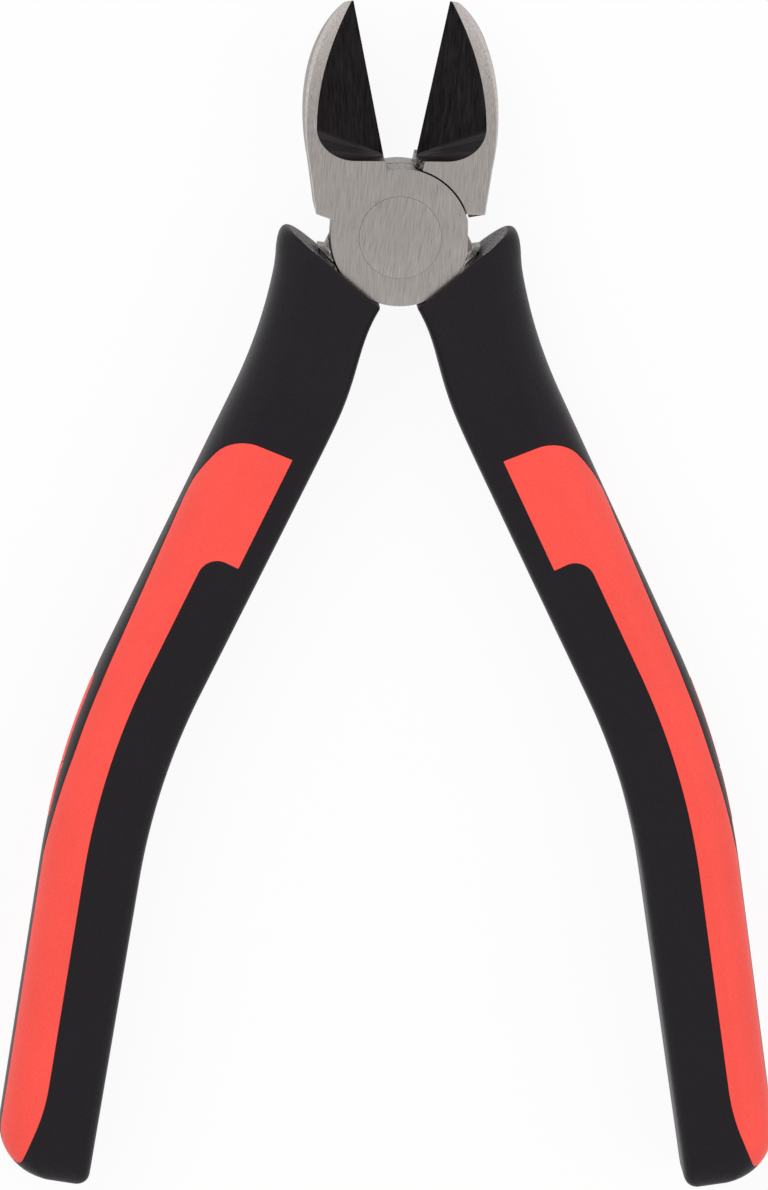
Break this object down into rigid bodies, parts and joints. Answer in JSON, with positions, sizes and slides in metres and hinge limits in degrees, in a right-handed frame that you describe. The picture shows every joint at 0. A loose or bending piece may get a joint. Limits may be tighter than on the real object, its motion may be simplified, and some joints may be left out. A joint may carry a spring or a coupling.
{
  "type": "diagonal cutter",
  "caption": "Hand cutter with two hollow-ground jaws on a riveted lap joint and slip-on black grips with coloured inlays, shown open.",
  "frame": {"origin": "centre of the rivet's back face, on the axis the levers turn about", "axes": "+Y towards the jaw tips, +Z through the thickness towards the front face, +X towards the right grip"},
  "size_m": [0.0992, 0.1528, 0.0144],
  "materials": {
    "steel": "satin ground faces, black oxide in the bevels",
    "black_grip": "matt",
    "red_inlay": "matt",
    "liner": "matt"
  },
  "bodies": {
    "right_half": {"front_lever": "steel", "pivot_rivet": "steel", "right_grip_core": "liner", "right_grip_skin": "black_grip", "right_inlay_front": "red_inlay", "right_inlay_back": "red_inlay", "right_spine_pad": "red_inlay"},
    "left_half": {"rear_lever": "steel", "left_grip_core": "liner", "left_grip_skin": "black_grip", "left_inlay_front": "red_inlay", "left_inlay_back": "red_inlay", "left_spine_pad": "red_inlay"}
  },
  "joints": [
    {"name": "pivot", "type": "hinge", "parent": "right_half", "child": "left_half", "pos_m": [0, 0, 0.005], "axis": [0, 0, -1], "range_deg": [-23.2, 14]}
  ]
}
